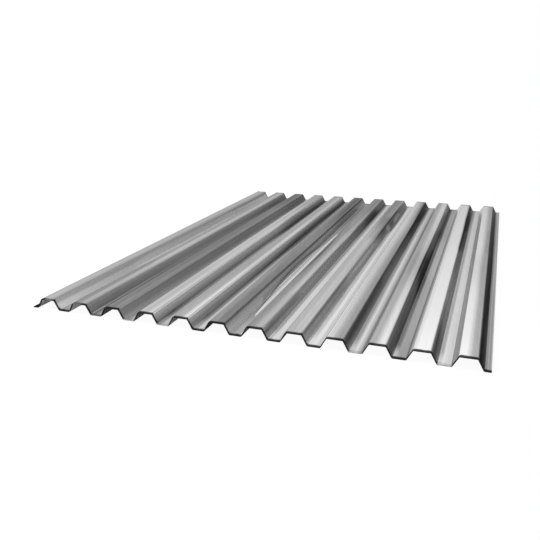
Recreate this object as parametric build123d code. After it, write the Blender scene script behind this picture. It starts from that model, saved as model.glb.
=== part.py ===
from build123d import *
import os

# Trapezoidal corrugated metal sheet: one flat strip of steel, cold-rolled lengthwise into ribs.
# X runs across the ribs, Y along them and Z up. The sheet lies on its valleys, and the
# origin is at the middle of its underside. All lengths are in millimetres.

# Driving dimensions. Widths and depth are those of the mid-surface, between bend lines.
rib_count = 12
crest_width = 32.0
valley_width = 25.0
web_run = 11.5
profile_depth = 21.0
edge_flange = 12.5
sheet_length = 1350.0
sheet_thickness = 2.0
bend_inside_radius = 2.0

# Sizes that follow from them
rib_pitch = crest_width + valley_width + 2 * web_run
sheet_width = rib_count * rib_pitch - valley_width + 2 * edge_flange
half_thickness = sheet_thickness / 2
bend_mid_radius = bend_inside_radius + half_thickness
valley_level = half_thickness
crest_level = valley_level + profile_depth


def rib_corners(rib):
    """The four bend lines of one rib, as (x, z) on the mid-surface, from left to right."""
    left_foot = edge_flange + rib * rib_pitch - sheet_width / 2
    left_shoulder = left_foot + web_run
    right_shoulder = left_shoulder + crest_width
    right_foot = right_shoulder + web_run
    return [
        (left_foot, valley_level),
        (left_shoulder, crest_level),
        (right_shoulder, crest_level),
        (right_foot, valley_level),
    ]


def section_corners():
    """The corners of the mid-line, from the left edge of the sheet to the right edge."""
    corners = [(-sheet_width / 2, valley_level)]
    for rib in range(rib_count):
        corners += rib_corners(rib)
    corners.append((sheet_width / 2, valley_level))
    return corners


def corrugated_sheet():
    """The strip in section, as thick in its bends as on its flats, drawn out along the ribs."""
    with BuildPart() as sheet:
        with BuildSketch(Plane.XZ):
            with BuildLine():
                mid_line = FilletPolyline(
                    *section_corners(), radius=bend_mid_radius, mode=Mode.PRIVATE
                )
                # The offset to the left of the mid-line comes back from right to left
                top_skin = offset(
                    mid_line, half_thickness, side=Side.LEFT, closed=False, mode=Mode.ADD
                )
                underside = offset(
                    mid_line, half_thickness, side=Side.RIGHT, closed=False, mode=Mode.ADD
                )
                Line(underside @ 1, top_skin @ 0)
                Line(top_skin @ 1, underside @ 0)
            make_face()
        extrude(amount=sheet_length / 2, both=True)
    return sheet.part


os.makedirs("parts", exist_ok=True)
export_step(corrugated_sheet(), "parts/corrugated_sheet.step")
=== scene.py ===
"""Looks of a trapezoidal corrugated sheet of galvanised steel, lying on a studio floor.

Lengths are in metres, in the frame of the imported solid: X across the ribs, Y along them and
Z up, with the origin at the middle of the sheet's underside.
"""

import logging
import math
from collections.abc import Callable
from dataclasses import dataclass
from enum import Enum
from functools import partial
from typing import Union

import bpy
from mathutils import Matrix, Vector


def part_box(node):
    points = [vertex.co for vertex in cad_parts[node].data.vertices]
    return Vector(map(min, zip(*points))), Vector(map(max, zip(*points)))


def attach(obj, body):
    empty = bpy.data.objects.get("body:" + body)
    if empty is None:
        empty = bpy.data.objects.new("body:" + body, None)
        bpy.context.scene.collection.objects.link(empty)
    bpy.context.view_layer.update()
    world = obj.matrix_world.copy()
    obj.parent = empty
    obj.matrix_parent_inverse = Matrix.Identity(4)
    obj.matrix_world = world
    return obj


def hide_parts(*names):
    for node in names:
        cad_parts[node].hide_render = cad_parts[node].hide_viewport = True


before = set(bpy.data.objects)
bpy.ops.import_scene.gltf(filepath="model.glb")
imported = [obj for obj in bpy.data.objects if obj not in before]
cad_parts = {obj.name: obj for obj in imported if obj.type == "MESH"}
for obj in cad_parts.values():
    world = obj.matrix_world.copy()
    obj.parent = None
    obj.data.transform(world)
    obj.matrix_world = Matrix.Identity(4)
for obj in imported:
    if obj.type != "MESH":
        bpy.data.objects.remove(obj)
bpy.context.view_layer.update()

log = logging.getLogger("corrugated_sheet")

NODE = "corrugated_sheet"
BODY = "root"
UNDERSIDE = "underside"
MM = 0.001
WHITE = (1.0, 1.0, 1.0, 1.0)

Number = Union[float, int, "Value", bpy.types.Node, bpy.types.NodeSocket]


@dataclass(frozen=True)
class Value:
    """A number that a node tree works out, so that formulas read as arithmetic.

    Args:
        nodes: The builder of the tree that holds the number.
        socket: The output that gives it.
    """

    nodes: "Nodes"
    socket: bpy.types.NodeSocket

    def __add__(self, other: Number) -> "Value":
        """This number plus another."""
        return self.nodes.math("ADD", self, other)

    def __radd__(self, other: Number) -> "Value":
        """Another number plus this one."""
        return self.nodes.math("ADD", other, self)

    def __sub__(self, other: Number) -> "Value":
        """This number less another."""
        return self.nodes.math("SUBTRACT", self, other)

    def __rsub__(self, other: Number) -> "Value":
        """Another number less this one."""
        return self.nodes.math("SUBTRACT", other, self)

    def __mul__(self, other: Number) -> "Value":
        """This number times another."""
        return self.nodes.math("MULTIPLY", self, other)

    def __rmul__(self, other: Number) -> "Value":
        """Another number times this one."""
        return self.nodes.math("MULTIPLY", other, self)

    def __truediv__(self, other: Number) -> "Value":
        """This number divided by another."""
        return self.nodes.math("DIVIDE", self, other)

    def __gt__(self, other: Number) -> "Value":
        """1 where this number is greater than another, else 0."""
        return self.nodes.math("GREATER_THAN", self, other)

    def __lt__(self, other: Number) -> "Value":
        """1 where this number is less than another, else 0."""
        return self.nodes.math("LESS_THAN", self, other)


class Nodes:
    """Adds nodes to a tree and links them."""

    def __init__(self, tree: bpy.types.NodeTree) -> None:
        """Starts on a tree.

        Args:
            tree: The node tree to fill.
        """
        self.tree = tree

    def add(self, kind: str, inputs: dict | None = None, **settings: object) -> bpy.types.Node:
        """Adds one node.

        Args:
            kind: The node's type name.
            inputs: Values or links for its inputs, by name or number.
            settings: The node's own properties.

        Returns:
            The node.
        """
        node = self.tree.nodes.new(kind)
        for name, setting in settings.items():
            setattr(node, name, setting)
        for key, value in (inputs or {}).items():
            self.feed(node.inputs[key], value)
        return node

    def feed(self, target: bpy.types.NodeSocket, value: object) -> None:
        """Links a value to an input, or sets it there.

        Args:
            target: The input.
            value: A Value, an output socket, a node for its first output, or a plain constant.
        """
        if isinstance(value, Value):
            value = value.socket
        if isinstance(value, bpy.types.Node):
            value = value.outputs[0]
        if isinstance(value, bpy.types.NodeSocket):
            self.tree.links.new(value, target)
        else:
            target.default_value = value

    def value(self, socket: bpy.types.NodeSocket) -> Value:
        """An output socket as a number to reckon with."""
        return Value(self, socket)

    def math(self, operation: str, *values: Number, clamp: bool = False) -> Value:
        """Adds a Math node.

        Args:
            operation: The node's operation.
            values: Its inputs in order.
            clamp: Whether the result is kept between 0 and 1.

        Returns:
            The result.
        """
        node = self.add("ShaderNodeMath", operation=operation, use_clamp=clamp)
        for target, value in zip(node.inputs, values):
            self.feed(target, value)
        return self.value(node.outputs[0])

    def between(self, share: Number, low: Number, high: Number) -> Value:
        """The number that lies a share of the way from low to high."""
        node = self.add("ShaderNodeMix", data_type="FLOAT", clamp_factor=True)
        for target, value in zip(node.inputs[:1] + node.inputs[2:4], (share, low, high)):
            self.feed(target, value)
        return self.value(node.outputs[0])

    def ramp(self, value: Number, low: Number, high: Number, smooth: bool = True) -> Value:
        """0 up to low, 1 from high on, and an even or smooth rise between them.

        Args:
            value: What is compared.
            low: Where the rise starts. It may be the greater one, for a fall.
            high: Where it ends.
            smooth: Whether the rise is rounded at both ends.

        Returns:
            A number from 0 to 1.
        """
        kind = "SMOOTHSTEP" if smooth else "LINEAR"
        node = self.add("ShaderNodeMapRange", interpolation_type=kind, clamp=not smooth)
        for target, part in zip(node.inputs[:3], (value, low, high)):
            self.feed(target, part)
        return self.value(node.outputs[0])


def object_place(n: Nodes) -> tuple[bpy.types.NodeSocket, Value, Value]:
    """The place that a material shades, in the sheet's own frame.

    Args:
        n: Builder of the material's tree.

    Returns:
        Its coordinates, and of these X and Y as numbers.
    """
    coords = n.add("ShaderNodeTexCoord").outputs["Object"]
    place = n.add("ShaderNodeSeparateXYZ", {0: coords})
    return coords, n.value(place.outputs[0]), n.value(place.outputs[1])


def new_material(name: str) -> tuple[bpy.types.Material, Nodes]:
    """Makes a material, and the builder of its tree."""
    material = bpy.data.materials.new(name)
    material.use_nodes = True
    return material, Nodes(material.node_tree)


def new_object(name: str, data: bpy.types.ID) -> bpy.types.Object:
    """Makes an object of a mesh, lamp or camera, and links it to the scene."""
    made = bpy.data.objects.new(name, data)
    bpy.context.scene.collection.objects.link(made)
    return made


def add_inputs(tree: bpy.types.NodeTree, sockets: dict[str, str]) -> None:
    """Gives a node group its named inputs.

    Args:
        tree: The group.
        sockets: Socket type by input name.
    """
    for name, kind in sockets.items():
        tree.interface.new_socket(name=name, in_out="INPUT", socket_type=kind)


# Sizes of the sheet


@dataclass(frozen=True)
class SheetSizes:
    """The section and length of the sheet, with widths taken on its mid-surface.

    Args:
        width: Overall width across the ribs.
        length: Length along the ribs.
        height: Overall height of the section.
        rib_count: Number of ribs.
        crest_width: Flat top of a rib, between its bend lines.
        valley_width: Flat between two ribs, twice the flange beyond an outer rib.
        thickness: Gauge of the strip.
        inside_radius: Inside radius of every bend.
        edge_round: Rounding of the slit long edges.
    """

    width: float
    length: float
    height: float
    rib_count: int = 12
    crest_width: float = 32 * MM
    valley_width: float = 25 * MM
    thickness: float = 2 * MM
    inside_radius: float = 2 * MM
    edge_round: float = 0.3 * MM

    @classmethod
    def of_node(cls, node: str) -> "SheetSizes":
        """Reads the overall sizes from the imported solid.

        Args:
            node: The solid's name.

        Returns:
            The sheet's sizes.
        """
        low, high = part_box(node)
        return cls(width=high.x - low.x, length=high.y - low.y, height=high.z - low.z)

    @property
    def pitch(self) -> float:
        """Distance from one rib to the next."""
        return self.width / self.rib_count

    @property
    def web_run(self) -> float:
        """Width that one sloping web takes up."""
        return (self.pitch - self.crest_width - self.valley_width) / 2

    @property
    def depth(self) -> float:
        """Rise of the mid-surface from valley to crest."""
        return self.height - self.thickness


# The sheet's shape


class RollFormingTree:
    """Geometry Nodes tree that bends a strip into ribs and draws it out along Y."""

    SOCKETS = {
        "Rib Count": "NodeSocketInt",
        "Crest Width": "NodeSocketFloat",
        "Valley Width": "NodeSocketFloat",
        "Web Run": "NodeSocketFloat",
        "Depth": "NodeSocketFloat",
        "Thickness": "NodeSocketFloat",
        "Inside Radius": "NodeSocketFloat",
        "Edge Round": "NodeSocketFloat",
        "Length": "NodeSocketFloat",
        "Rows": "NodeSocketInt",
        "Bend Steps": "NodeSocketInt",
        "Flat Cuts": "NodeSocketInt",
        "Dish": "NodeSocketFloat",
        "Sag": "NodeSocketFloat",
        "Seed": "NodeSocketFloat",
        "Skin": "NodeSocketMaterial",
        "Cut Edge": "NodeSocketMaterial",
    }
    # Share of the inside radius within which a corner counts as at the edge
    EDGE_TOLERANCE = 0.25
    # Unevenness of the metal: swings per metre across and along, and the noise kept
    UNEVEN_ACROSS = 9.0
    UNEVEN_ALONG = 2.4
    UNEVEN_RANGE = (0.3, 0.7)
    # Least share of a cut face's normal that points along X or Y
    CUT_FACING = 0.93

    def __init__(self) -> None:
        """Makes the tree and its inputs."""
        self.tree = bpy.data.node_groups.new("Roll-formed sheet", "GeometryNodeTree")
        add_inputs(self.tree, {"Geometry": "NodeSocketGeometry", **self.SOCKETS})
        self.tree.interface.new_socket(
            name="Geometry", in_out="OUTPUT", socket_type="NodeSocketGeometry"
        )
        self.nodes = Nodes(self.tree)
        self.given = self.nodes.add("NodeGroupInput").outputs
        self.build()

    def read(self, name: str) -> Value:
        """One of the tree's inputs as a number."""
        return self.nodes.value(self.given[name])

    def build(self) -> None:
        """Fills the tree, from the section's corners to the dressed mesh."""
        n = self.nodes
        section = self.filleted_section()
        mesh = self.drawn_out(section)
        settled = self.settled(mesh)
        dressed = self.dressed(settled)
        realized = n.add("GeometryNodeRealizeInstances", {"Geometry": dressed})
        skin = n.add(
            "GeometryNodeSetMaterial",
            {"Geometry": realized, "Material": self.given["Skin"]},
        )
        edge = n.add(
            "GeometryNodeSetMaterial",
            {
                "Geometry": skin,
                "Selection": self.cut_faces(),
                "Material": self.given["Cut Edge"],
            },
        )
        out = n.add("NodeGroupOutput")
        n.feed(out.inputs[0], edge)

    def half_width(self) -> Value:
        """Half the overall width, from the ribs, webs and valleys."""
        return self.read("Rib Count") * self.pitch() / 2

    def pitch(self) -> Value:
        """Distance from one rib to the next."""
        return self.read("Crest Width") + self.read("Valley Width") + 2 * self.read("Web Run")

    def filleted_section(self) -> bpy.types.NodeSocket:
        """The closed outline of the section, in the XY plane with Y downwards.

        Its points run along the top skin from left to right and back along the underside.
        Corners are numbered by rib and turn: left foot, left shoulder, right shoulder, right foot.

        Returns:
            The outline with its bends rounded and its flats divided.
        """
        n = self.nodes
        corners = 4 * self.read("Rib Count") + 2
        line = n.add("GeometryNodeCurvePrimitiveLine")
        points = n.add("GeometryNodeResampleCurve", {"Curve": line, "Count": 2 * corners})
        index = n.value(n.add("GeometryNodeInputIndex").outputs[0])
        under = index > corners - 0.5
        step = n.between(under, index, 2 * corners - 1 - index) - 1
        rib = n.math("FLOOR", step / 4)
        turn = step - 4 * rib
        shoulder = (turn > 0.5) * (turn < 2.5)
        side = 1 - 2 * under

        half = self.read("Thickness") / 2
        run = self.read("Web Run")
        slope = n.math("ARCTAN2", self.read("Depth"), run)
        mitre = half * n.math("TANGENT", slope / 2)
        foot = self.read("Valley Width") / 2 + rib * self.pitch() - self.half_width()
        along = run * (turn > 0.5) + self.read("Crest Width") * (turn > 1.5) + run * (turn > 2.5)
        x = foot + along + side * mitre * (2 * (turn > 1.5) - 1)
        edge = self.half_width()
        x = n.math("MAXIMUM", n.math("MINIMUM", x, edge), 0 - edge)
        z = half + shoulder * self.read("Depth") + side * half

        near_edge = edge - self.EDGE_TOLERANCE * self.read("Inside Radius")
        at_edge = n.math("ABSOLUTE", x) > near_edge
        outside = n.math("ABSOLUTE", shoulder - under)
        bend = self.read("Inside Radius") + outside * self.read("Thickness")
        radius = n.between(at_edge, bend, self.read("Edge Round"))

        place = n.add("ShaderNodeCombineXYZ", {"X": x, "Y": 0 - z})
        placed = n.add("GeometryNodeSetPosition", {"Geometry": points, "Position": place})
        closed = n.add("GeometryNodeSetSplineCyclic", {"Geometry": placed, "Cyclic": True})
        bent = n.add(
            "GeometryNodeFilletCurve",
            {"Curve": closed, "Count": self.read("Bend Steps"), "Radius": radius},
            mode="POLY",
        )
        steps = self.read("Bend Steps")
        after_bend = n.math("MODULO", index, steps + 1) > steps - 0.5
        cut = n.add(
            "GeometryNodeSubdivideCurve",
            {"Curve": bent, "Cuts": self.read("Flat Cuts") * after_bend},
        )
        return cut.outputs[0]

    def drawn_out(self, section: bpy.types.NodeSocket) -> bpy.types.NodeSocket:
        """Sweeps the section along a straight line from the front end to the back end.

        Args:
            section: The closed outline.

        Returns:
            The closed mesh.
        """
        n = self.nodes
        half = self.read("Length") / 2
        start = n.add("ShaderNodeCombineXYZ", {"Y": 0 - half})
        end = n.add("ShaderNodeCombineXYZ", {"Y": half})
        line = n.add("GeometryNodeCurvePrimitiveLine", {"Start": start, "End": end})
        rows = n.add("GeometryNodeResampleCurve", {"Curve": line, "Count": self.read("Rows") + 1})
        upright = n.add("GeometryNodeSetCurveNormal", {"Curve": rows}, mode="Z_UP")
        swept = n.add(
            "GeometryNodeCurveToMesh",
            {"Curve": upright, "Profile Curve": section, "Fill Caps": True},
        )
        return swept.outputs[0]

    def settled(self, mesh: bpy.types.NodeSocket) -> bpy.types.NodeSocket:
        """Dishes each flat a little and lets the section flatten unevenly along its length.

        Args:
            mesh: The true sheet.

        Returns:
            The sheet as rolled, nowhere outside the true one.
        """
        n = self.nodes
        place = n.add("ShaderNodeSeparateXYZ", {0: n.add("GeometryNodeInputPosition")})
        x, y, z = (n.value(socket) for socket in place.outputs)
        fold = n.math("PINGPONG", n.math("ABSOLUTE", x), self.pitch() / 2)
        crest_half = self.read("Crest Width") / 2
        valley_half = self.read("Valley Width") / 2
        from_crest = (self.pitch() / 2 - fold) / crest_half
        from_valley = fold / valley_half
        crest_dish = n.math("MAXIMUM", 1 - from_crest * from_crest, 0.0)
        valley_dish = n.math("MAXIMUM", 1 - from_valley * from_valley, 0.0)
        spot = n.add(
            "ShaderNodeCombineXYZ",
            {"X": x * self.UNEVEN_ACROSS, "Y": y * self.UNEVEN_ALONG, "Z": self.read("Seed")},
        )
        noise = n.add(
            "ShaderNodeTexNoise",
            {"Vector": spot, "Scale": 1.0, "Detail": 1.0, "Roughness": 0.4},
        )
        uneven = n.ramp(noise, *self.UNEVEN_RANGE)
        height = z / (self.read("Depth") + self.read("Thickness"))
        lift = self.read("Sag") * uneven * (1 - 2 * height)
        dish = self.read("Dish") * uneven * (valley_dish - crest_dish)
        offset = n.add("ShaderNodeCombineXYZ", {"Z": lift + dish})
        moved = n.add("GeometryNodeSetPosition", {"Geometry": mesh, "Offset": offset})
        return moved.outputs[0]

    def dressed(self, mesh: bpy.types.NodeSocket) -> bpy.types.NodeSocket:
        """Shades the skins smooth and the cut edges flat, and marks the underside.

        Args:
            mesh: The settled sheet.

        Returns:
            The shaded mesh.
        """
        n = self.nodes
        smooth = n.add("GeometryNodeSetShadeSmooth", {"Geometry": mesh, "Shade Smooth": True})
        flat = n.add(
            "GeometryNodeSetShadeSmooth",
            {"Geometry": smooth, "Selection": self.cut_faces(), "Shade Smooth": False},
        )
        normal = n.add("ShaderNodeSeparateXYZ", {0: n.add("GeometryNodeInputNormal")})
        marked = n.add(
            "GeometryNodeStoreNamedAttribute",
            {
                "Geometry": flat,
                "Name": UNDERSIDE,
                "Value": n.value(normal.outputs[2]) < 0.0,
            },
            data_type="FLOAT",
            domain="FACE",
        )
        return marked.outputs[0]

    def cut_faces(self) -> Value:
        """1 on the sheared ends and the slit long edges, which face along Y or X."""
        n = self.nodes
        normal = n.add("ShaderNodeSeparateXYZ", {0: n.add("GeometryNodeInputNormal")})
        facing = [n.math("ABSOLUTE", socket) > self.CUT_FACING for socket in normal.outputs[:2]]
        return n.math("MAXIMUM", *facing)


@dataclass
class CorrugatedSheet:
    """The roll-formed sheet, one piece of strip.

    Args:
        sizes: Its section and length.
        rows: Number of divisions along the length.
        bend_steps: Number of facets round each bend.
        flat_cuts: Number of cuts across each flat and web.
        dish: Most that the middle of a flat dips.
        sag: Most that the section flattens.
        seed: Place in the noise that makes both uneven.
        name: Name of the object and its mesh.
    """

    sizes: SheetSizes
    rows: int = 54
    bend_steps: int = 6
    flat_cuts: int = 3
    dish: float = 0.15 * MM
    sag: float = 0.2 * MM
    seed: float = 4.0
    name: str = "rolled_sheet"

    def inputs(self, skin: bpy.types.Material, cut_edge: bpy.types.Material) -> dict[str, object]:
        """The tree's inputs for this sheet.

        Args:
            skin: Finish of both faces.
            cut_edge: Finish of the cut edges.

        Returns:
            Values by input name.
        """
        s = self.sizes
        return {
            "Rib Count": s.rib_count,
            "Crest Width": s.crest_width,
            "Valley Width": s.valley_width,
            "Web Run": s.web_run,
            "Depth": s.depth,
            "Thickness": s.thickness,
            "Inside Radius": s.inside_radius,
            "Edge Round": s.edge_round,
            "Length": s.length,
            "Rows": self.rows,
            "Bend Steps": self.bend_steps,
            "Flat Cuts": self.flat_cuts,
            "Dish": self.dish,
            "Sag": self.sag,
            "Seed": self.seed,
            "Skin": skin,
            "Cut Edge": cut_edge,
        }

    def build(self, skin: bpy.types.Material, cut_edge: bpy.types.Material) -> bpy.types.Object:
        """Runs the tree and keeps its result as a plain mesh.

        Args:
            skin: Finish of both faces.
            cut_edge: Finish of the cut edges.

        Returns:
            The sheet, riding on its body in place of the solid.
        """
        piece = new_object(self.name, bpy.data.meshes.new(self.name))
        tree = RollFormingTree().tree
        modifier = piece.modifiers.new("Roll forming", "NODES")
        modifier.node_group = tree
        identifiers = {
            item.name: item.identifier
            for item in tree.interface.items_tree
            if item.item_type == "SOCKET" and item.in_out == "INPUT"
        }
        for label, value in self.inputs(skin, cut_edge).items():
            modifier[identifiers[label]] = value
        evaluated = piece.evaluated_get(bpy.context.evaluated_depsgraph_get())
        piece.data = bpy.data.meshes.new_from_object(evaluated)
        piece.data.name = self.name
        piece.modifiers.remove(modifier)
        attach(piece, BODY)
        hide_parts(NODE)
        return piece


# Finishes


class Part(Enum):
    """One surface of a rib, by where it starts and ends in the rib's own pitch.

    A pitch runs from the middle of one valley to the middle of the next. The sheet ends at the
    middle of the last rib's valley.
    """

    LEFT_WEB = "left web"
    CREST = "crest"
    RIGHT_WEB = "right web"
    VALLEY = "valley on the right"


@dataclass(frozen=True)
class PaintedLightLane:
    """A lane along one surface of one rib, with painted reflection where brighter and painted shade
    where duller than the metal round it.

    Args:
        rib: Number of the rib from the left, from 1.
        part: The surface that it lies on.
        gain: Reflectance that it adds: painted reflection above 0, painted shade below 0.
        at: Its middle, as a share of that surface's width from the left.
        width: Its full width, as a share of that surface's width.
        front: Where it starts along the sheet.
        back: Where it ends. The sheet's ends lie well inside the defaults.
        bow: How far its sides draw in towards its ends, up to 1 for pointed ends.
        lean: 1 where only its left side is bowed, -1 where only its right side is.
        soft: How wide its sides fade.
        fade: Share of its half length over which each end fades.
    """

    rib: int
    part: Part
    gain: float
    at: float = 0.5
    width: float = 1.0
    front: float = -2.0
    back: float = 2.0
    bow: float = 0.0
    lean: float = 0.0
    soft: float = 5 * MM
    fade: float = 0.3


@dataclass(frozen=True)
class MarkLayer:
    """One layer of drawn marks, as rolls, wipers and shears leave them.

    Args:
        width: Width of a mark.
        length: Length of a mark.
        seed: Place in the noise.
        gain: Most that the layer adds to the reflectance.
        slant: Angle of the marks to the length of the sheet, in degrees.
        detail: Number of finer layers on it.
    """

    width: float
    length: float
    seed: float
    gain: float
    slant: float = 0.0
    detail: float = 1.0

    def add(self, n: Nodes, group: bpy.types.NodeTree, vector: bpy.types.NodeSocket) -> Value:
        """Adds the layer to a material.

        Args:
            n: Builder of the material's tree.
            group: The group that draws out marks.
            vector: Object coordinates.

        Returns:
            A number from 0 to 1.
        """
        node = n.add("ShaderNodeGroup", node_tree=group)
        shape = (vector, self.width, self.length, math.radians(self.slant), self.detail, self.seed)
        for target, value in zip(node.inputs, shape):
            n.feed(target, value)
        return n.value(node.outputs[0])


def drawn_marks_group(
    noise_roughness: float = 0.55, low: float = 0.25, high: float = 0.75
) -> bpy.types.NodeTree:
    """Marks drawn out along one direction.

    Args:
        noise_roughness: Strength of each finer layer of the noise.
        low: Noise that counts as no mark.
        high: Noise that counts as a full mark.

    Returns:
        A shader group with inputs Vector, Width, Length, Slant, Detail and Seed, and output Value.
    """
    tree = bpy.data.node_groups.new("Drawn marks", "ShaderNodeTree")
    kinds = dict.fromkeys(("Width", "Length", "Slant", "Detail", "Seed"), "NodeSocketFloat")
    add_inputs(tree, {"Vector": "NodeSocketVector", **kinds})
    tree.interface.new_socket(name="Value", in_out="OUTPUT", socket_type="NodeSocketFloat")
    n = Nodes(tree)
    given = n.add("NodeGroupInput").outputs
    turn = n.add("ShaderNodeCombineXYZ", {"Z": given["Slant"]})
    turned = n.add("ShaderNodeMapping", {"Vector": given["Vector"], "Rotation": turn})
    part = n.add("ShaderNodeSeparateXYZ", {0: turned})
    spot = n.add(
        "ShaderNodeCombineXYZ",
        {
            "X": n.value(part.outputs[0]) / given["Width"],
            "Y": n.value(part.outputs[1]) / given["Length"],
            "Z": n.value(part.outputs[2]) / given["Width"],
        },
    )
    noise = n.add(
        "ShaderNodeTexNoise",
        {
            "Vector": spot,
            "W": given["Seed"],
            "Scale": 1.0,
            "Detail": given["Detail"],
            "Roughness": noise_roughness,
        },
        noise_dimensions="4D",
    )
    out = n.add("NodeGroupOutput")
    n.feed(out.inputs[0], n.ramp(noise, low, high, smooth=False))
    return tree


def painted_light_lane_group() -> bpy.types.NodeTree:
    """One lane of painted reflection and painted shade, with soft sides and ends, whose sides may be
    bowed.

    Returns:
        A shader group that gives the lane's gain inside it and 0 outside.
    """
    tree = bpy.data.node_groups.new("Painted light lane", "ShaderNodeTree")
    places = ("X", "Y", "Across", "Half Width", "Along", "Half Length")
    shape = ("Bow", "Lean", "Soft", "Fade", "Gain")
    add_inputs(tree, dict.fromkeys(places + shape, "NodeSocketFloat"))
    tree.interface.new_socket(name="Value", in_out="OUTPUT", socket_type="NodeSocketFloat")
    n = Nodes(tree)
    outputs = n.add("NodeGroupInput").outputs
    given = {name: n.value(outputs[name]) for name in places + shape}
    along = (given["Y"] - given["Along"]) / given["Half Length"]
    drawn_in = given["Half Width"] * given["Bow"] * along * along
    middle = given["Across"] + given["Lean"] * drawn_in
    inside = given["Half Width"] - drawn_in - n.math("ABSOLUTE", given["X"] - middle)
    half_soft = given["Soft"] / 2
    sides = n.ramp(inside, 0 - half_soft, half_soft)
    ends = n.ramp(n.math("ABSOLUTE", along), 1.0, 1 - given["Fade"])
    out = n.add("NodeGroupOutput")
    n.feed(out.inputs[0], given["Gain"] * sides * ends)
    return tree


@dataclass(frozen=True)
class LaneMap:
    """Places lanes on the surfaces of the section.

    Args:
        sizes: The sheet's sizes.
        lane: The group that makes one lane.
    """

    sizes: SheetSizes
    lane: bpy.types.NodeTree

    def span(self, part: Part) -> tuple[float, float]:
        """Where a surface starts and ends, from the middle of the valley on its rib's left."""
        s = self.sizes
        foot = s.valley_width / 2
        shoulder = foot + s.web_run
        far_shoulder = shoulder + s.crest_width
        far_foot = far_shoulder + s.web_run
        spans = {
            Part.LEFT_WEB: (foot, shoulder),
            Part.CREST: (shoulder, far_shoulder),
            Part.RIGHT_WEB: (far_shoulder, far_foot),
            Part.VALLEY: (far_foot, far_foot + s.valley_width),
        }
        return spans[part]

    def gain(self, n: Nodes, x: Value, y: Value, lanes: tuple[PaintedLightLane, ...]) -> Value:
        """What some lanes add together.

        Args:
            n: Builder of the material's tree.
            x: Place across the sheet.
            y: Place along it.
            lanes: The lanes.

        Returns:
            The sum of their gains at that place.
        """
        total = 0.0
        for lane in lanes:
            start, end = self.span(lane.part)
            left = (lane.rib - 1) * self.sizes.pitch - self.sizes.width / 2
            values = {
                "X": x,
                "Y": y,
                "Across": left + start + lane.at * (end - start),
                "Half Width": lane.width * (end - start) / 2,
                "Along": (lane.front + lane.back) / 2,
                "Half Length": (lane.back - lane.front) / 2,
                "Bow": lane.bow,
                "Lean": lane.lean,
                "Soft": lane.soft,
                "Fade": lane.fade,
                "Gain": lane.gain,
            }
            node = n.add("ShaderNodeGroup", node_tree=self.lane)
            for name, value in values.items():
                n.feed(node.inputs[name], value)
            total = total + n.value(node.outputs[0])
        return total


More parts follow.
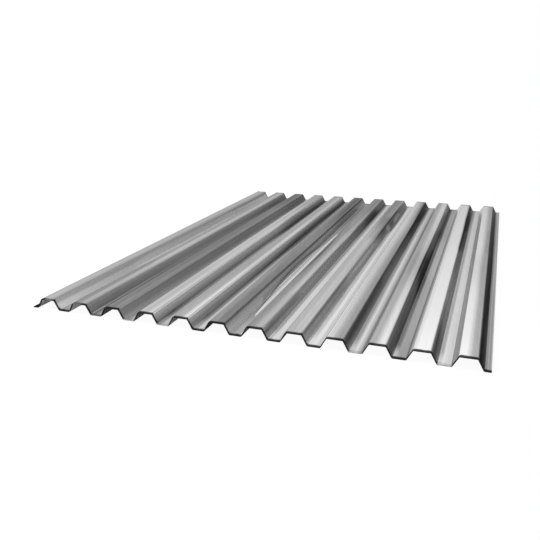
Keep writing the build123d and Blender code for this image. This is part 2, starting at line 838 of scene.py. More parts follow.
@dataclass(frozen=True)
class GalvanisedFinish:
    """Bright zinc over rolled steel, with painted reflections and painted shade that differ from flat
    to flat.

    Args:
        sizes: The sheet's sizes, for the places of its flats and bends.
        marks: The group that draws out marks.
        lane_map: Places lanes on the section.
        lanes: The lanes of painted reflection and painted shade on the top side.
        under_lanes: The lanes of painted reflection and painted shade on the underside.
        cut_glint: The painted highlights on the cut edges, where the dark band on the top is weaker
            too.
        metal_lanes: The lanes with more or less bare metal, by their gains.
        flat_tone: Reflectance of the crests and valleys.
        shaded_web_tone: Reflectance of the webs, set below the flats' as painted shade.
        web_fade: How far a bend's tone spreads to each side of it.
        darkest: Least reflectance.
        brightest: Greatest reflectance.
        broad: The broad rolling streaks.
        fine: The fine rolling streaks.
        wiped: The slanting marks that wiping leaves.
        bump_depth: Depth of the fine and wiped marks.
        bump_strength: How far the bump counts.
        metallic: Share of bare metal, the rest being matt zinc.
        edge_tint: Reflectance left at a grazing view.
        rough_dull: Roughness of the dullest metal.
        rough_bright: Roughness of the brightest.
        rim: How far a darker band reaches from a cut end on a flat.
        web_rim: How far it reaches on a web.
        rim_swing: How far the broad streaks change that reach, as a share of it.
        rim_dark: How dark that band is at the cut, up to 1 for black.
    """

    sizes: SheetSizes
    marks: bpy.types.NodeTree
    lane_map: LaneMap
    lanes: tuple[PaintedLightLane, ...]
    under_lanes: tuple[PaintedLightLane, ...]
    cut_glint: tuple[PaintedLightLane, ...]
    metal_lanes: tuple[PaintedLightLane, ...]
    flat_tone: float = 0.55
    shaded_web_tone: float = 0.38
    web_fade: float = 2.5 * MM
    darkest: float = 0.02
    brightest: float = 0.95
    broad: MarkLayer = MarkLayer(6 * MM, 1.2, seed=8.0, gain=0.05)
    fine: MarkLayer = MarkLayer(1.8 * MM, 0.4, seed=9.0, gain=0.02, detail=2.0)
    wiped: MarkLayer = MarkLayer(3 * MM, 60 * MM, seed=10.0, gain=0.035, slant=-10.0, detail=2.0)
    bump_depth: float = 0.03 * MM
    bump_strength: float = 0.08
    metallic: float = 0.86
    edge_tint: float = 0.35
    rough_dull: float = 0.36
    rough_bright: float = 0.20
    rim: float = 10 * MM
    web_rim: float = 5 * MM
    rim_swing: float = 0.15
    rim_dark: float = 0.93

    def web_mask(self, n: Nodes, x: Value) -> Value:
        """Where the webs are.

        Args:
            n: Builder of the material's tree.
            x: Place across the sheet.

        Returns:
            1 on a web and 0 on a flat.
        """
        s = self.sizes
        fold = n.math("PINGPONG", n.math("ABSOLUTE", x), s.pitch / 2)
        off_web = n.math("ABSOLUTE", fold - (s.valley_width + s.web_run) / 2)
        return n.ramp(off_web, s.web_run / 2 + self.web_fade, s.web_run / 2 - self.web_fade)

    def build(self) -> bpy.types.Material:
        """Makes the material of both faces of the sheet.

        Returns:
            The material.
        """
        material, n = new_material("galvanised_skin")
        shader = n.tree.nodes["Principled BSDF"]
        coords, x, y = object_place(n)
        under = n.value(n.add("ShaderNodeAttribute", attribute_name=UNDERSIDE).outputs["Fac"])

        layers = (self.broad, self.fine, self.wiped)
        broad, fine, wiped = (2 * layer.add(n, self.marks, coords) - 1 for layer in layers)
        # Painted reflections and painted shade, from the lanes of each side
        painted_top_light = self.lane_map.gain(n, x, y, self.lanes)
        painted_under_light = self.lane_map.gain(n, x, y, self.under_lanes)
        web = self.web_mask(n, x)
        # The webs take a lower tone, as painted shade
        tone = n.between(web, self.flat_tone, self.shaded_web_tone)
        tone = tone + n.between(under, painted_top_light, painted_under_light)
        tone = tone + self.broad.gain * broad + self.fine.gain * fine + self.wiped.gain * wiped
        tone = n.math("MINIMUM", n.math("MAXIMUM", tone, self.darkest), self.brightest)

        # A darker band on the top near each cut end, weaker where the cut has painted highlights
        end = self.sizes.length / 2
        reach = n.between(web, self.rim, self.web_rim) * (1 + self.rim_swing * broad)
        rim = n.ramp(n.math("ABSOLUTE", y), end - reach, end - reach / 2)
        rim = rim * (self.rim_dark - self.lane_map.gain(n, x, y, self.cut_glint))
        tone = tone * (1 - rim)

        n.feed(shader.inputs["Base Color"], tone)
        n.feed(shader.inputs["Roughness"], n.between(tone, self.rough_dull, self.rough_bright))
        bump = n.add(
            "ShaderNodeBump",
            {
                "Strength": self.bump_strength,
                "Distance": self.bump_depth,
                "Height": fine + wiped,
            },
        )
        n.feed(shader.inputs["Normal"], bump)
        bare = self.metallic + self.lane_map.gain(n, x, y, self.metal_lanes)
        n.feed(shader.inputs["Metallic"], bare)
        shader.inputs["Specular Tint"].default_value = (*[self.edge_tint] * 3, 1.0)
        return material


@dataclass(frozen=True)
class CutEdgeFinish:
    """Dark sheared steel at the ends and slit steel along the sides.

    Args:
        marks: The group that draws out marks.
        lane_map: Places lanes on the section.
        cut_glint: Where a painted highlight brightens the cut edge.
        torn_tone: Reflectance of the dark cut, outside the painted highlights.
        cut_glint_tone: Reflectance that the painted highlight adds at full strength.
        grain: Its grain.
        roughness: How rough it is.
        rough_swing: How much rougher its grain makes it at most.
    """

    marks: bpy.types.NodeTree
    lane_map: LaneMap
    cut_glint: tuple[PaintedLightLane, ...]
    torn_tone: float = 0.01
    cut_glint_tone: float = 0.6
    grain: MarkLayer = MarkLayer(12 * MM, 12 * MM, seed=2.0, gain=0.03, detail=3.0)
    roughness: float = 0.5
    rough_swing: float = 0.2

    def build(self) -> bpy.types.Material:
        """Makes the material of the cut edges.

        Returns:
            The material.
        """
        material, n = new_material("cut_edge")
        shader = n.tree.nodes["Principled BSDF"]
        coords, x, y = object_place(n)
        grain = self.grain.add(n, self.marks, coords)
        # Painted highlights on the cut edge
        cut_glint = self.cut_glint_tone * self.lane_map.gain(n, x, y, self.cut_glint)
        n.feed(shader.inputs["Base Color"], self.torn_tone + self.grain.gain * grain + cut_glint)
        n.feed(shader.inputs["Roughness"], self.roughness + self.rough_swing * grain)
        shader.inputs["Metallic"].default_value = 1.0
        return material


# Studio


@dataclass(frozen=True)
class StudioBoard:
    """A tall curved board that the metal mirrors and nothing else sees.

    Args:
        name: Its name.
        start: Azimuth of its left edge, in degrees clockwise from +Y.
        end: Azimuth of its right edge.
        foot: Elevation of its lower edge as seen from the sheet, in degrees.
        top: Elevation of its top edge.
        level: How light it is, with 1 as the white of the surroundings.
        side_fade: Share of its width over which each side fades into the surroundings.
        top_fade: Share of its height over which its top does.
        foot_fade: Share of its height over which its foot does.
        radius: Its distance from the middle of the sheet.
        facet: Arc of one of its flat strips, in degrees.
    """

    name: str
    start: float
    end: float
    foot: float
    top: float
    level: float
    side_fade: float = 0.15
    top_fade: float = 0.35
    foot_fade: float = 0.0
    radius: float = 6.0
    facet: float = 3.0

    def build(self) -> bpy.types.Object:
        """Makes the board as a curved strip with a UV map, across and up.

        Returns:
            The board.
        """
        steps = max(2, round((self.end - self.start) / self.facet))
        points, faces = [], []
        for i in range(steps + 1):
            angle = math.radians(self.start + (self.end - self.start) * i / steps)
            x, y = self.radius * math.sin(angle), self.radius * math.cos(angle)
            for elevation in (self.foot, self.top):
                points.append((x, y, self.radius * math.tan(math.radians(elevation))))
        for i in range(steps):
            faces.append((2 * i, 2 * i + 2, 2 * i + 3, 2 * i + 1))
        mesh = bpy.data.meshes.new(self.name)
        mesh.from_pydata(points, [], faces)
        uv = mesh.uv_layers.new(name="board")
        for loop in mesh.loops:
            uv.data[loop.index].uv = (loop.vertex_index // 2 / steps, loop.vertex_index % 2)
        board = new_object(self.name, mesh)
        mesh.materials.append(self.material())
        for kind in ("camera", "diffuse", "transmission", "volume_scatter", "shadow"):
            setattr(board, f"visible_{kind}", False)
        return board

    def material(self) -> bpy.types.Material:
        """The board's own light, fading into the white of the surroundings at its edges."""
        material, n = new_material(self.name)
        n.tree.nodes.remove(n.tree.nodes["Principled BSDF"])
        uv = n.add("ShaderNodeSeparateXYZ", {0: n.add("ShaderNodeTexCoord").outputs["UV"]})
        across, up = (n.value(socket) for socket in uv.outputs[:2])
        sides = n.ramp(n.math("PINGPONG", across, 0.5), 0.0, self.side_fade)
        cover = sides * n.ramp(up, 1.0, 1.0 - self.top_fade)
        if self.foot_fade:
            cover = cover * n.ramp(up, 0.0, self.foot_fade)
        light = n.between(cover, 1.0, self.level)
        emission = n.add("ShaderNodeEmission", {"Color": WHITE, "Strength": light})
        n.feed(n.tree.nodes["Material Output"].inputs["Surface"], emission)
        return material


@dataclass
class Studio:
    """Pale floor, white surroundings, one large soft lamp and the boards round the sheet.

    Args:
        boards: The boards that the metal mirrors.
        floor_half: Half the floor's side.
        floor_drop: How far the floor lies below the sheet's underside.
        floor_colour: Its colour where light falls on it.
        ambient: Light of the surroundings on matt surfaces.
        glow: Share of the floor's white that doesn't depend on light, as the camera sees it
            beside the sheet.
        glow_reach: Distance from the middle at which all of the floor's white is such.
        mirrored_glow: The same share as the metal mirrors it.
        lamp_at: Where the lamp hangs.
        lamp_side: Side of the lamp.
        lamp_power: Its power in watts.
    """

    boards: tuple[StudioBoard, ...]
    floor_half: float = 40.0
    floor_drop: float = 0.1 * MM
    floor_colour: tuple[float, float, float, float] = (0.95, 0.95, 0.95, 1.0)
    ambient: float = 0.3
    glow: float = 0.95
    glow_reach: tuple[float, float] = (1.0, 2.6)
    mirrored_glow: float = 0.10
    lamp_at: tuple[float, float, float] = (-5.0, -1.5, 4.0)
    lamp_side: float = 3.0
    lamp_power: float = 680.0

    def world(self) -> None:
        """White surroundings for the camera and mirrored rays, softer on matt surfaces."""
        world = bpy.data.worlds.new("studio")
        world.use_nodes = True
        bpy.context.scene.world = world
        n = Nodes(world.node_tree)
        path = n.add("ShaderNodeLightPath").outputs
        seen = n.math("MAXIMUM", path["Is Camera Ray"], path["Is Glossy Ray"])
        seen = n.math("MAXIMUM", seen, path["Is Transmission Ray"])
        background = world.node_tree.nodes["Background"]
        background.inputs["Color"].default_value = WHITE
        n.feed(background.inputs["Strength"], n.between(seen, self.ambient, 1.0))

    def floor(self) -> bpy.types.Object:
        """A white floor that keeps a light shadow.

        Returns:
            The floor.
        """
        s, z = self.floor_half, -self.floor_drop
        mesh = bpy.data.meshes.new("floor")
        mesh.from_pydata([(-s, -s, z), (s, -s, z), (s, s, z), (-s, s, z)], [], [(0, 1, 2, 3)])
        floor = new_object("floor", mesh)
        material, n = new_material("white_floor")
        n.tree.nodes.remove(n.tree.nodes["Principled BSDF"])
        coords = n.add("ShaderNodeTexCoord").outputs["Object"]
        length = n.add("ShaderNodeVectorMath", {0: coords}, operation="LENGTH")
        far = n.ramp(length.outputs["Value"], *self.glow_reach)
        path = n.add("ShaderNodeLightPath").outputs
        mirrored = n.math("MAXIMUM", path["Is Glossy Ray"], path["Is Transmission Ray"])
        seen = n.between(far, self.glow, 1.0) * path["Is Camera Ray"]
        share = seen + n.between(far, self.mirrored_glow, 1.0) * mirrored
        matt = n.add("ShaderNodeBsdfDiffuse", {"Color": self.floor_colour})
        glow = n.add("ShaderNodeEmission", {"Color": WHITE, "Strength": 1.0})
        mix = n.add("ShaderNodeMixShader", {0: share, 1: matt, 2: glow})
        n.feed(n.tree.nodes["Material Output"].inputs["Surface"], mix)
        mesh.materials.append(material)
        return floor

    def lamp(self) -> None:
        """One large soft lamp on the left, which the metal doesn't mirror."""
        data = bpy.data.lights.new("soft_lamp", "AREA")
        data.shape = "SQUARE"
        data.size = self.lamp_side
        data.energy = self.lamp_power
        data.cycles.use_multiple_importance_sampling = False
        lamp = new_object("soft_lamp", data)
        lamp.location = self.lamp_at
        lamp.rotation_euler = (-Vector(self.lamp_at)).to_track_quat("-Z", "Y").to_euler()
        lamp.visible_glossy = False
        lamp.visible_camera = False

    def build(self) -> None:
        """Sets up the surroundings, floor, lamp and boards."""
        self.world()
        self.floor()
        self.lamp()
        for board in self.boards:
            board.build()
        bpy.context.scene.view_settings.view_transform = "Standard"


@dataclass(frozen=True)
class PhotoCamera:
    """The photograph's point of view.

    Args:
        place: Where the camera stands.
        down: How far it looks below the horizon, in degrees.
        left: How far it looks to the left of +Y, in degrees.
        lens: Focal length on the sensor, both in millimetres.
        sensor: Width of the sensor.
    """

    place: tuple[float, float, float] = (0.4505, -1.7455, 0.5035)
    down: float = 17.56
    left: float = 19.42
    lens: float = 42.58
    sensor: float = 36.0

    def build(self) -> bpy.types.Object:
        """Makes the scene's camera.

        Returns:
            The camera.
        """
        data = bpy.data.cameras.new("camera")
        data.lens = self.lens
        data.sensor_width = self.sensor
        camera = new_object("camera", data)
        camera.location = self.place
        camera.rotation_euler = (math.radians(90 - self.down), 0.0, math.radians(self.left))
        bpy.context.scene.camera = camera
        return camera


BOARDS = (
    StudioBoard("dark_board_right", start=9, end=70, foot=-2, top=25, level=0.25),
    StudioBoard("light_board_ahead", start=-24, end=9, foot=5, top=24, level=1.25, side_fade=0.2),
    StudioBoard("light_strip_ahead", start=-14, end=14, foot=25, top=34, level=1.4, foot_fade=0.3),
    StudioBoard("grey_board_right", start=96, end=140, foot=0, top=30, level=0.6),
    StudioBoard("dark_board_behind", start=150, end=215, foot=0, top=26, level=0.3),
    StudioBoard("grey_board_left", start=235, end=290, foot=0, top=30, level=0.6),
)

# Painted reflections and painted shade


def lanes_on(rib: int) -> tuple[Callable[..., PaintedLightLane], ...]:
    """What makes lanes of painted reflection and painted shade on one rib.

    Args:
        rib: Number of the rib from the left, from 1.

    Returns:
        A maker each for its left web, crest, right web and valley, which takes a lane's gain
        and shape.
    """
    return tuple(partial(PaintedLightLane, rib, part) for part in Part)


def first_rib() -> tuple[PaintedLightLane, ...]:
    """A pale crest, and a web that brightens towards its foot."""
    _, crest, web, valley = lanes_on(1)
    return (
        crest(0.12, at=0.3, width=0.9),
        crest(-0.06, at=0.88, width=0.35),
        crest(0.05, at=0.45, width=0.6, front=0.0),
        crest(-0.14, at=0.0, width=0.2, back=0.0, soft=3 * MM),
        web(0.14),
        web(0.42, at=0.68, width=0.5),
        web(-0.09, at=0.3, width=0.7, front=0.3),
        web(0.24, at=0.66, width=0.8, front=-0.38, back=0.35),
        web(0.2, at=0.75, width=0.45, front=-0.38, back=0.35, soft=3 * MM),
        web(-0.1, at=0.06, width=0.3, front=-0.4, back=0.5, soft=3 * MM),
        web(-0.06, at=0.45, width=0.3, front=0.3, soft=3 * MM),
        valley(0.24, at=0.95, width=0.7, soft=8 * MM),
        valley(-0.09, at=0.6, front=-0.9, back=-0.2),
        valley(-0.2, at=0.85, width=0.7, back=-0.3),
    )


def second_rib() -> tuple[PaintedLightLane, ...]:
    """A crest with a lit right half, and a dark valley."""
    _, crest, web, valley = lanes_on(2)
    return (
        crest(-0.05, at=0.2, width=0.6),
        crest(0.2, at=0.72, width=0.45, soft=8 * MM),
        crest(-0.05, at=0.4, front=-0.9, back=-0.3),
        crest(-0.1, at=1.0, width=0.16, soft=4 * MM),
        crest(-0.08, at=0.8, width=0.5, back=-0.4),
        web(-0.03, at=0.6, width=0.6),
        web(0.06, at=0.9, width=0.5),
        web(0.13, at=0.22, width=0.4, soft=4 * MM),
        web(-0.18, at=1.0, width=0.2, back=-0.4, soft=3 * MM),
        web(0.08, at=0.85, width=0.3, front=-0.36, back=0.3, soft=3 * MM),
        web(0.09, at=0.05, width=0.3, front=0.28, soft=3 * MM),
        web(-0.07, at=0.4, back=-0.36),
        valley(-0.26, width=1.1, soft=8 * MM),
        valley(0.05, at=0.4, width=0.8, back=-0.3),
        valley(0.24, at=0.17, width=0.3, back=-0.36),
    )


def third_rib() -> tuple[PaintedLightLane, ...]:
    """A dark crest, a dark line at its web's foot and a bright valley."""
    _, crest, web, valley = lanes_on(3)
    return (
        crest(-0.27, width=1.15, soft=8 * MM),
        crest(0.04, at=0.75, width=0.4),
        crest(-0.09, at=0.0, width=3.6, front=0.3, soft=10 * MM),
        web(-0.05, front=0.3),
        web(0.09, at=0.22, width=0.35, soft=4 * MM),
        web(-0.32, at=1.05, width=0.18, soft=2 * MM),
        web(0.08, at=0.85, width=0.2, back=-0.2, soft=2 * MM),
        web(0.1, at=0.0, width=0.3, front=0.26, soft=4 * MM),
        valley(0.2),
        valley(-0.15, at=0.6, width=0.8, front=-1.2, back=-0.15, fade=0.5),
        valley(0.42, at=0.27, width=0.28, back=0.26),
        valley(-0.13, at=0.52, width=0.35, back=-0.45),
        valley(-0.1, at=0.2, width=0.4, front=0.3),
        valley(-0.08, at=0.85, width=0.5, front=0.3),
    )


def fourth_rib() -> tuple[PaintedLightLane, ...]:
    """A bright crest, a web lit at its shoulder and a valley lit in front."""
    _, crest, web, valley = lanes_on(4)
    return (
        crest(0.26),
        crest(0.08, at=0.72, width=0.3, soft=8 * MM),
        crest(-0.14, at=0.3, width=0.7, front=-1.2, back=-0.2, soft=8 * MM, fade=0.5),
        crest(-0.28, at=1.0, width=0.18),
        crest(-0.16, front=0.28),
        crest(-0.11, at=0.7, width=0.7, front=0.02),
        crest(-0.06, at=0.65, width=0.8),
        crest(0.15, at=1.02, width=0.16, front=0.28, soft=4 * MM),
        web(0.26, at=0.15, width=0.8, soft=9 * MM),
        web(0.2, at=0.2, width=0.8, back=0.3, soft=9 * MM, fade=0.2),
        web(0.24, at=0.28, width=0.4, back=0.25, soft=4 * MM),
        web(-0.16, at=0.55, width=0.45, front=0.08, soft=4 * MM),
        web(0.08, at=0.15, width=0.4, front=0.28, soft=4 * MM),
        web(-0.2, at=1.0, width=0.3, back=-0.46, soft=4 * MM),
        valley(-0.2, at=0.14, width=0.4, front=0.0, back=0.8, bow=0.4, fade=0.5),
        valley(0.4, at=0.29, width=0.4, back=0.22),
        valley(-0.12, at=0.85, width=0.5, front=-0.24),
        valley(0.08, at=0.4, width=0.5, front=-0.9, back=0.05, fade=0.2),
        valley(-0.07, at=0.4, width=0.7, front=0.3),
    )


def fifth_rib() -> tuple[PaintedLightLane, ...]:
    """A bright line along the crest's right half, and a web lit at its shoulder."""
    _, crest, web, valley = lanes_on(5)
    return (
        crest(-0.28, at=1.0, width=0.18),
        crest(0.3, at=0.8, width=0.38, soft=8 * MM),
        crest(-0.03, at=0.4, width=0.8),
        crest(-0.09, at=0.8, width=0.4, front=0.02),
        crest(0.09, at=0.8, width=0.3, front=-0.9, back=-0.2, soft=8 * MM, fade=0.6),
        crest(-0.07, at=0.85, width=0.4, front=0.06),
        web(0.44, at=0.15, width=0.7, soft=9 * MM),
        web(0.3, at=0.28, width=0.4, back=0.2, soft=4 * MM),
        web(-0.1, at=0.85, width=0.5, front=-0.4),
        web(-0.17, at=0.56, width=0.42, front=-0.16, soft=4 * MM, fade=0.2),
        web(-0.06, width=0.3, back=0.02, soft=4 * MM),
        web(0.06, at=0.88, width=0.25, back=-0.28, soft=3 * MM),
        web(0.09, at=0.22, width=0.16, back=0.25, soft=3 * MM),
        valley(-0.07),
        valley(0.38, at=0.27, width=0.34, back=0.08),
        valley(-0.08, at=0.05, width=0.25, front=0.25),
        valley(0.06, width=0.4),
        valley(0.18, at=0.48, width=0.4, front=-0.9, back=-0.16, fade=0.7),
    )


def sixth_rib() -> tuple[PaintedLightLane, ...]:
    """A dark crest, and a valley with a bright pointed blade and a dark bow beside it."""
    _, crest, web, valley = lanes_on(6)
    return (
        crest(-0.22, width=1.1),
        crest(0.08, at=0.1, width=0.5, front=-0.9, back=-0.1, fade=0.8),
        crest(-0.05, at=0.7, width=0.5, front=-0.9, back=0.1, fade=0.8),
        crest(-0.05, at=0.6, width=0.7, front=-0.1),
        crest(0.07, at=0.95, width=0.3, front=0.3, soft=4 * MM),
        web(0.12),
        web(0.2, at=0.6, width=0.8, front=-1.2, back=-0.2, fade=0.5),
        web(0.24, at=0.45, width=0.3, soft=3 * MM),
        web(-0.14, at=0.37, width=0.24, front=0.05, soft=3 * MM),
        web(0.22, at=0.85, width=0.4, front=0.28, soft=4 * MM),
        web(0.1, at=0.6, width=0.3, front=-0.28, back=0.28, soft=3 * MM),
        web(0.8, at=0.78, width=0.34, back=-0.46, soft=4 * MM, fade=0.05),
        web(-0.24, at=0.1, width=0.2, soft=3 * MM),
        web(0.16, at=0.95, width=0.4, front=0.05, soft=3 * MM),
        web(0.16, at=0.48, width=0.3, front=-0.36, back=0.28, soft=3 * MM),
        web(0.32, at=0.96, width=0.3, front=-0.44, back=0.08, bow=1.0, lean=1.0, soft=2 * MM),
        valley(-0.14, at=0.62, width=0.3, back=-0.46),
        valley(0.12, at=0.95, width=0.3, back=-0.46),
        valley(-0.16, at=0.02, width=0.2, back=-0.44, soft=3 * MM, fade=0.05),
        valley(-0.1, at=0.08, width=0.25, front=0.05),
        valley(-0.1, at=0.3, width=0.3, front=0.2, back=0.64, soft=3 * MM),
        valley(-0.36, at=0.8, width=0.36, front=-0.56, back=0.5, fade=0.6),
        valley(-0.32, at=0.175, width=0.77, front=-0.62, back=0.22, bow=1.0, lean=1.0, soft=2 * MM),
        valley(0.42, at=0.19, width=0.66, front=-0.57, back=0.18, bow=1.0, lean=1.0, soft=3 * MM),
        valley(
            0.26, at=0.28, width=0.48, front=-0.56, back=0.18, bow=0.9, lean=0.8, soft=6 * MM, fade=0.1
        ),
        valley(
            1.1, at=0.36, width=0.48, front=-0.57, back=0.18, bow=0.8, lean=0.8, soft=2 * MM, fade=0.05
        ),
    )


def seventh_rib() -> tuple[PaintedLightLane, ...]:
    """A grey crest, a web with a lit bow along its shoulder and a bright valley."""
    _, crest, web, valley = lanes_on(7)
    return (
        crest(-0.26, at=0.03, width=0.3, front=-0.4, back=0.16, bow=0.6, soft=9 * MM, fade=0.9),
        crest(-0.08, at=0.15, width=0.5, front=-0.9, back=0.3),
        crest(-0.1, at=0.6, width=1.1, front=-0.9, back=0.32),
        crest(-0.11, at=0.3, width=0.9, front=0.05, soft=9 * MM),
        crest(0.1, at=0.78, width=0.4, front=-0.9, back=0.45, fade=0.5),
        crest(-0.1, at=1.0, width=0.16),
        crest(0.1, at=0.8, width=0.2, front=-0.5, back=0.0, soft=6 * MM),
        web(0.13),
        web(0.1, at=0.9, width=0.4, back=0.28, soft=4 * MM),
        web(0.26, at=0.15, width=0.8, front=-0.9, back=0.25, bow=0.7, lean=-1.0, soft=4 * MM),
        web(-0.07, at=0.6, width=1.3, front=0.08, back=0.8, fade=0.6),
        web(-0.18, at=0.52, width=0.8, front=0.24, back=0.56, soft=6 * MM, fade=0.7),
        web(-0.2, at=0.42, width=0.4, back=-0.42, soft=4 * MM, fade=0.06),
        web(0.06, at=0.92, width=0.25, back=0.25, soft=3 * MM),
        valley(0.18),
        valley(0.13, at=0.27, width=0.34, back=-0.1),
        valley(0.09, at=0.97, width=0.3, front=-0.42, back=0.12),
        valley(-0.14, at=0.95, width=0.3, back=-0.48),
        valley(0.1, width=0.7, front=0.25),
        valley(0.14, width=0.4),
    )


def eighth_rib() -> tuple[PaintedLightLane, ...]:
    """A web with mottled patches, and a bright valley that darkens at the back."""
    _, crest, web, valley = lanes_on(8)
    return (
        crest(0.12, at=0.3, width=0.9, front=-0.9, back=0.45, soft=9 * MM, fade=0.5),
        crest(0.06, at=0.7, width=0.6, front=-0.9, back=0.2, fade=0.6),
        crest(-0.14, at=0.6, width=0.7, front=0.02, back=0.42, fade=0.5),
        crest(-0.12, at=0.45, front=0.0, soft=9 * MM, fade=0.4),
        crest(-0.09, back=0.2),
        crest(0.09, at=0.95, width=0.3, front=0.3, soft=4 * MM),
        crest(0.12, at=0.82, width=0.2, back=-0.04, soft=6 * MM),
        web(0.18),
        web(0.1, at=0.95, width=0.3, back=0.0, soft=3 * MM),
        web(-0.19, at=0.4, width=0.8, front=-1.2, back=-0.24, soft=4 * MM),
        web(0.1, at=0.35, width=0.6, front=-0.3, back=0.1, bow=1.0, lean=-1.0, soft=3 * MM),
        web(-0.08, at=0.72, width=0.2, front=-0.3, back=0.06, soft=2 * MM),
        web(-0.27, at=0.35, width=0.95, front=0.03, back=0.7, fade=0.5),
        web(0.24, at=0.68, width=0.45, front=0.36, back=0.54, bow=0.8, soft=3 * MM, fade=0.5),
        web(-0.1, at=0.7, width=0.5, front=0.3, back=0.38, soft=3 * MM, fade=0.6),
        web(0.09, at=0.9, width=0.3, front=0.25, soft=4 * MM),
        web(-0.09, at=0.35, width=0.4, front=0.03, back=0.3, soft=4 * MM),
        web(0.22, at=0.6, width=0.7, front=0.23, back=0.31, bow=0.5, soft=3 * MM, fade=0.6),
        web(-0.09, at=0.12, width=0.3, front=0.08, back=0.54, soft=3 * MM),
        valley(-0.1, at=0.72, width=0.4, back=0.3),
        valley(0.14, at=0.3, width=0.25, back=-0.44),
        valley(0.12, at=0.16, width=0.3, front=-0.4, back=0.1),
        valley(0.26),
        valley(0.18, width=0.35),
        valley(-0.36, at=0.22, width=0.44, front=0.22, back=0.68, bow=0.6, lean=-1.0),
        valley(0.16, at=0.18, width=0.3, back=-0.25),
    )


def ninth_rib() -> tuple[PaintedLightLane, ...]:
    """A crest with a bright left half, a dark web and a bright line in the valley."""
    left_web, crest, web, valley = lanes_on(9)
    return (
        left_web(0.29, width=1.2),
        left_web(0.1, back=-0.22),
        crest(0.24, at=0.12, width=0.6, soft=10 * MM),
        crest(-0.12, at=0.9, width=0.4, soft=8 * MM),
        crest(-0.2, at=0.95, width=0.4, front=0.3, soft=8 * MM),
        crest(-0.08, at=0.45, width=0.7, back=0.3, soft=8 * MM),
        web(-0.16),
        web(-0.08, at=0.4, width=0.7, front=0.3),
        web(-0.12, at=0.4, width=0.8, front=0.1, back=0.7, fade=0.5),
        web(0.09, front=-0.32, back=0.06, fade=0.6),
        web(0.18, at=0.98, width=0.4, back=0.26, soft=4 * MM),
        web(0.05, at=0.85, width=0.35, soft=4 * MM),
        web(-0.07, width=0.5, back=-0.24, soft=4 * MM),
        web(-0.04, width=1.2, front=0.3),
        web(0.1, at=0.12, width=0.25, back=-0.18, soft=4 * MM),
        valley(0.05),
        valley(-0.1, at=0.3, width=0.6, front=0.3),
        valley(0.22, at=0.42, width=0.36),
        valley(-0.06, at=0.92, width=0.3),
        valley(-0.18, at=0.9, width=0.16, soft=3 * MM),
        valley(-0.14, at=0.37, width=0.2, back=-0.18, soft=3 * MM),
    )


def tenth_rib() -> tuple[PaintedLightLane, ...]:
    """A crest with a lit right half, and a dark web with a lit shoulder at the back."""
    left_web, crest, web, valley = lanes_on(10)
    return (
        left_web(0.14),
        left_web(0.12, back=0.0),
        crest(-0.08, at=0.12, width=0.5, soft=9 * MM),
        crest(0.12, at=0.75, width=0.5, soft=9 * MM),
        crest(0.1, at=0.82, width=0.4, front=-1.2, back=-0.15, soft=9 * MM, fade=0.7),
        crest(0.14, at=0.75, width=0.5, front=0.05, soft=9 * MM),
        crest(0.08, at=0.6, width=0.8, front=0.3, soft=9 * MM),
        crest(0.07, at=0.6, width=0.5, back=-0.25, soft=9 * MM),
        crest(-0.13, at=0.6, width=0.8, front=-0.36, back=0.1, soft=9 * MM, fade=0.9),
        web(-0.18),
        web(0.18, at=0.1, width=0.4, front=0.05),
        web(0.1, at=0.8, width=0.5, front=0.02, back=0.28, soft=4 * MM, fade=0.6),
        web(0.1, at=0.2, width=0.7, front=0.2, back=0.72, fade=0.5),
        web(-0.1, at=0.3, width=0.9, front=-0.3, back=0.03, fade=0.7),
        web(-0.12, at=0.72, width=0.6, front=-0.36, back=0.35, fade=0.4),
        web(0.09, at=0.98, width=0.3, front=-0.24, soft=4 * MM),
        web(0.15, at=0.95, width=0.35, back=-0.2, soft=4 * MM),
        web(0.08, at=0.12, width=0.3, back=0.06, soft=4 * MM),
        web(-0.04, at=0.75, width=0.5, back=-0.4, soft=4 * MM),
        web(-0.03, at=0.4, width=0.5, front=-0.9, back=-0.26),
        valley(0.12, at=0.2, width=0.2, back=-0.24),
        valley(-0.08, at=0.75, width=0.5, back=-0.47),
        valley(-0.14, at=0.1, width=0.3, front=-0.66, fade=0.04),
        valley(-0.06, at=0.3, width=0.3, front=-0.3, back=0.34),
        valley(-0.08, front=0.05),
        valley(-0.1, at=0.6, front=-1.2, back=-0.1),
    )


def eleventh_rib() -> tuple[PaintedLightLane, ...]:
    """The brightest crest, and a web that darkens at the back."""
    left_web, crest, web, valley = lanes_on(11)
    return (
        left_web(0.42),
        crest(0.42, soft=8 * MM),
        crest(-0.44, at=1.0, width=0.32, front=0.26, soft=7 * MM),
        crest(-0.3, at=1.0, width=0.24, front=0.0, back=0.5, soft=4 * MM),
        crest(-0.1, at=0.08, width=0.25, soft=8 * MM),
        crest(-0.12, at=1.0, width=0.2, back=-0.42, soft=4 * MM),
        web(-0.15),
        web(-0.22, at=0.35, width=0.8, front=0.26, back=0.68, soft=6 * MM, fade=0.5),
        web(-0.12, front=0.0, back=0.6, fade=0.5),
        web(0.16, at=0.95, width=0.5, back=0.25, soft=4 * MM),
        web(0.08, at=0.1, width=0.3, back=0.0, soft=4 * MM),
        web(0.15, width=0.9, front=-0.58, back=-0.08, fade=0.5),
        web(0.12, at=0.85, width=0.35, front=0.1, soft=4 * MM),
        web(0.07, at=0.12, width=0.22, back=0.3, soft=3 * MM),
        web(0.09, at=0.94, width=0.25, back=0.34, soft=3 * MM),
        web(-0.06, at=0.35, width=0.4, front=0.28, soft=3 * MM),
        web(-0.07, at=0.6, width=0.3, back=-0.47, soft=3 * MM),
        web(-0.12, at=0.2, width=0.6, front=-0.9, back=-0.36, soft=4 * MM, fade=0.4),
        web(0.1, at=0.8, width=0.5, front=-0.6, back=-0.2, soft=4 * MM, fade=0.6),
        valley(-0.14, at=0.15, width=0.3, front=0.3),
        valley(-0.06, at=0.1, width=0.3, back=-0.28),
        valley(-0.08, at=0.7, width=0.5, back=-0.26),
        valley(0.18),
        valley(0.08, width=0.4),
    )


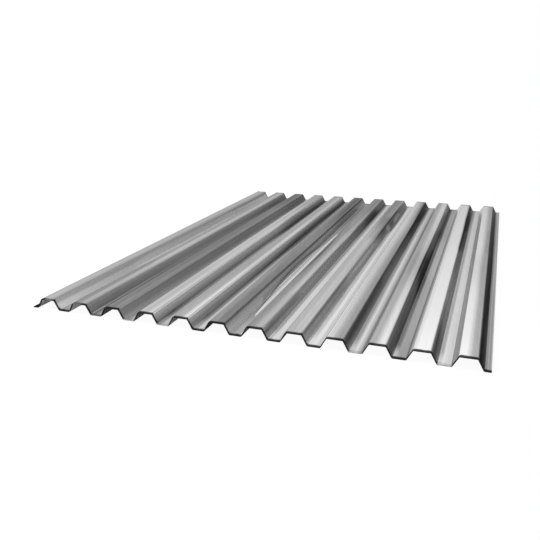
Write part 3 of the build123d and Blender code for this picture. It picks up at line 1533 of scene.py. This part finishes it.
def twelfth_rib() -> tuple[PaintedLightLane, ...]:
    """A bright crest and the darkest web, beside the sheet's right flange."""
    left_web, crest, web, valley = lanes_on(12)
    return (
        left_web(0.38),
        crest(0.4, at=0.2, width=0.6, soft=14 * MM),
        crest(0.14, at=0.1, width=0.5, front=0.22, soft=9 * MM),
        crest(-0.08, at=0.9, width=0.4, soft=8 * MM),
        crest(-0.12, at=0.3, width=0.8, front=-0.38, back=0.14, soft=9 * MM, fade=0.9),
        crest(-0.07, at=0.85, width=0.3, front=0.0, back=0.32),
        web(-0.36),
        web(0.05, front=0.25),
        web(0.16, at=1.0, width=0.4, soft=4 * MM),
        web(0.1, at=0.85, width=0.5, back=-0.28, soft=4 * MM),
        web(0.16, at=0.0, width=0.3, back=-0.28, soft=4 * MM),
        valley(-0.32, at=0.08, width=0.3),
        valley(0.26, at=0.95, width=0.3, front=-0.22),
        valley(-0.1, at=0.05, width=0.2, front=-0.22, back=0.3, soft=4 * MM),
        valley(0.14, at=0.15, width=0.4, front=0.46, soft=4 * MM),
        valley(0.1, at=0.21, width=0.12, soft=3 * MM),
        valley(-0.15, at=0.35, width=0.14, back=-0.05, soft=3 * MM),
        valley(0.14, width=0.1, soft=3 * MM),
    )


RIBS = (
    first_rib, second_rib, third_rib, fourth_rib, fifth_rib, sixth_rib,
    seventh_rib, eighth_rib, ninth_rib, tenth_rib, eleventh_rib, twelfth_rib,
)
RIB_LANES = tuple(lane for rib in RIBS for lane in rib())
# The dark end of the left flange, and two soft bands of painted shade across several ribs
BROAD_DARK_LANES = (
    PaintedLightLane(0, Part.VALLEY, -0.6, front=-0.75, back=-0.62),
    PaintedLightLane(7, Part.CREST, -0.14, width=6.0, front=0.1, back=1.5, soft=60 * MM, fade=0.6),
    PaintedLightLane(2, Part.LEFT_WEB, -0.05, at=0.0, width=9.0, front=-1.2, back=-0.2, fade=0.4),
)
# The left side of a valley, which its web shades
SHADED_FEET = tuple(
    PaintedLightLane(rib, Part.VALLEY, -0.24, at=0.14, width=0.4, front=-0.66, fade=0.04)
    for rib in (4, 5, 7, 8, 9, 10, 11)
)
# The right side of a crest, just before its bend
SHADED_SHOULDERS = tuple(
    PaintedLightLane(rib, Part.CREST, -0.1, at=0.98, width=0.14, soft=4 * MM) for rib in (4, 5, 7, 8, 10)
)
# Painted shade along the right edge of a crest, from the front to just past the middle
SHADED_SHOULDER_EDGES = tuple(
    PaintedLightLane(rib, Part.CREST, gain, at=0.98, width=0.1, back=0.2, soft=3 * MM)
    for rib, gain in {
        1: -0.14, 4: -0.18, 5: -0.22, 6: -0.07, 7: -0.2, 8: -0.16, 9: -0.08, 10: -0.2, 11: -0.18
    }.items()
)
# The upper end of a web, just after its bend
LIT_SHOULDERS = tuple(
    PaintedLightLane(rib, Part.RIGHT_WEB, gain, at=0.17, width=0.2, soft=3 * MM)
    for rib, gain in {4: 0.2, 5: 0.24, 7: 0.14, 8: 0.04}.items()
)
# The front end of a valley
LIT_ENDS = tuple(
    PaintedLightLane(rib, Part.VALLEY, gain, at=0.6, width=1.1, front=-0.75, back=-0.59, fade=0.5)
    for rib, gain in {1: 0.42, 2: 0.36, 3: 0.16, 4: 0.12, 5: 0.16, 6: 0.08}.items()
)
# All painted reflections and painted shade on the top side
SHARED_LANES = SHADED_FEET + SHADED_SHOULDERS + SHADED_SHOULDER_EDGES + LIT_SHOULDERS + LIT_ENDS
TOP_LANES = SHARED_LANES + BROAD_DARK_LANES + RIB_LANES

# Painted light and painted shade inside the tunnels under the first ribs, as seen from the front
TUNNEL_PAINTED_LIGHT = tuple(
    PaintedLightLane(rib, Part.LEFT_WEB, gain)
    for rib, gain in {1: 0.45, 2: 0.55, 3: -0.1, 4: 0.1, 5: 0.5, 6: -0.25}.items()
)
# Where more or less of the metal is bare
METAL_LANES = (
    PaintedLightLane(11, Part.LEFT_WEB, -0.2, at=0.75, width=0.6, soft=4 * MM),
    PaintedLightLane(12, Part.LEFT_WEB, -0.05, at=0.2, width=0.5, soft=4 * MM),
    PaintedLightLane(11, Part.RIGHT_WEB, 0.14, at=0.4, width=0.7, front=0.0, soft=3 * MM),
    PaintedLightLane(12, Part.RIGHT_WEB, 0.14, at=0.42, width=0.65, soft=3 * MM),
)
# Painted highlights on the cut edges, which also weaken the dark band on the top beside them
CUT_GLINT_LANES = (
    PaintedLightLane(1, Part.CREST, 0.25, at=0.6, width=0.6),
    PaintedLightLane(2, Part.CREST, 0.25, at=0.3, width=0.6),
    PaintedLightLane(2, Part.VALLEY, 0.3),
    *(PaintedLightLane(rib, Part.VALLEY, 0.7) for rib in (3, 4, 9, 11)),
)


def main() -> None:
    """Builds the sheet, the studio and the camera, and logs the sheet's triangle count."""
    logging.basicConfig(level=logging.INFO, format="%(name)s: %(message)s")
    sizes = SheetSizes.of_node(NODE)
    marks = drawn_marks_group()
    lane_map = LaneMap(sizes, painted_light_lane_group())
    lanes = (TOP_LANES, TUNNEL_PAINTED_LIGHT, CUT_GLINT_LANES, METAL_LANES)
    skin = GalvanisedFinish(sizes, marks, lane_map, *lanes).build()
    cut_edge = CutEdgeFinish(marks, lane_map, CUT_GLINT_LANES).build()
    sheet = CorrugatedSheet(sizes).build(skin, cut_edge)
    triangles = sum(len(face.vertices) - 2 for face in sheet.data.polygons)
    log.info("%s: %d triangles", sheet.name, triangles)
    Studio(BOARDS).build()
    PhotoCamera().build()
    log.info("studio and camera are set")


if __name__ == "__main__":
    main()
